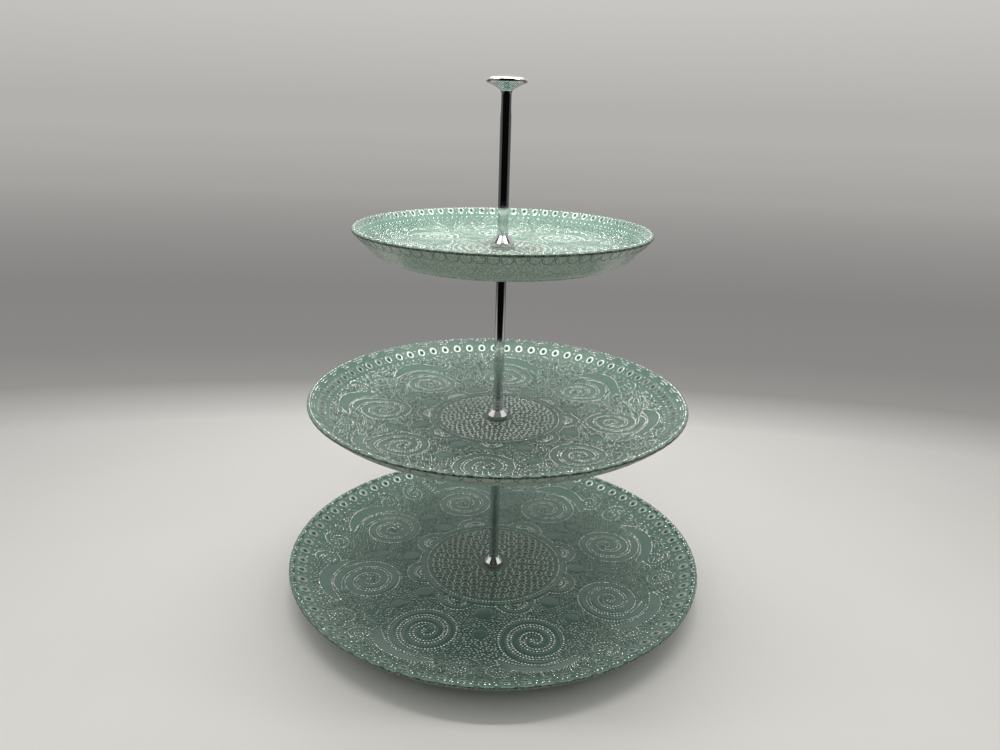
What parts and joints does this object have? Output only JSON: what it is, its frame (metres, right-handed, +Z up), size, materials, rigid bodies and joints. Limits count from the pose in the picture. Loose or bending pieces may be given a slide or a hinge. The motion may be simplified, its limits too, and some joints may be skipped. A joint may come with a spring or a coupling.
{
  "type": "tiered cake stand",
  "caption": "Round coupe plates of teal pressed glass, largest at the bottom, stacked on a slim chrome post with conical collars and a flared knob, for serving cakes.",
  "frame": {"origin": "centre of the foot ring on the table, on the posts' axis", "axes": "+Z up along the posts; the plates are round, so X and Y are free"},
  "size_m": [0.32, 0.32, 0.3798],
  "materials": {
    "teal_glass": "gloss",
    "chrome": "polished",
    "steel": "satin",
    "gasket": "matte"
  },
  "bodies": {
    "base": {"bottom_plate": "teal_glass", "bottom_gasket_over": "gasket", "bottom_gasket_under": "gasket", "base_screw": "steel", "base_washer": "steel"},
    "lower_collar": {"lower_collar": "chrome"},
    "lower_post": {"lower_post": "chrome", "lower_stud": "steel", "middle_seat": "steel", "middle_gasket_under": "gasket"},
    "middle_plate": {"middle_plate": "teal_glass", "middle_gasket_over": "gasket"},
    "middle_collar": {"middle_collar": "chrome"},
    "middle_post": {"middle_post": "chrome", "upper_stud": "steel", "top_seat": "steel", "top_gasket_under": "gasket"},
    "top_plate": {"top_plate": "teal_glass", "top_gasket_over": "gasket"},
    "upper_collar": {"upper_collar": "chrome"},
    "handle": {"upper_post": "chrome", "finial_stud": "steel", "finial": "chrome"}
  },
  "joints": [
    {"name": "lower_collar_rise", "type": "slide", "parent": "base", "child": "lower_collar", "axis": [0, 0, 1], "range_m": [0, 0.008]},
    {"name": "lower_post_turn", "type": "hinge", "parent": "lower_collar", "child": "lower_post", "pos_m": [0, 0, 0], "axis": [0, 0, 1], "range_deg": [0, 3600]},
    {"name": "middle_plate_swivel", "type": "hinge", "parent": "lower_post", "child": "middle_plate", "pos_m": [0, 0, 0], "axis": [0, 0, 1], "continuous": true},
    {"name": "middle_collar_rise", "type": "slide", "parent": "lower_post", "child": "middle_collar", "axis": [0, 0, 1], "range_m": [0, 0.008]},
    {"name": "middle_post_turn", "type": "hinge", "parent": "middle_collar", "child": "middle_post", "pos_m": [0, 0, 0], "axis": [0, 0, 1], "range_deg": [0, 3600]},
    {"name": "top_plate_swivel", "type": "hinge", "parent": "middle_post", "child": "top_plate", "pos_m": [0, 0, 0], "axis": [0, 0, 1], "continuous": true},
    {"name": "upper_collar_rise", "type": "slide", "parent": "middle_post", "child": "upper_collar", "axis": [0, 0, 1], "range_m": [0, 0.008]},
    {"name": "handle_turn", "type": "hinge", "parent": "upper_collar", "child": "handle", "pos_m": [0, 0, 0], "axis": [0, 0, 1], "range_deg": [0, 3600]}
  ],
  "couplings": [
    {"joint": "lower_post_turn", "follows": "lower_collar_rise", "rad_per_m": 7854},
    {"joint": "middle_post_turn", "follows": "middle_collar_rise", "rad_per_m": 7854},
    {"joint": "handle_turn", "follows": "upper_collar_rise", "rad_per_m": 7854}
  ]
}
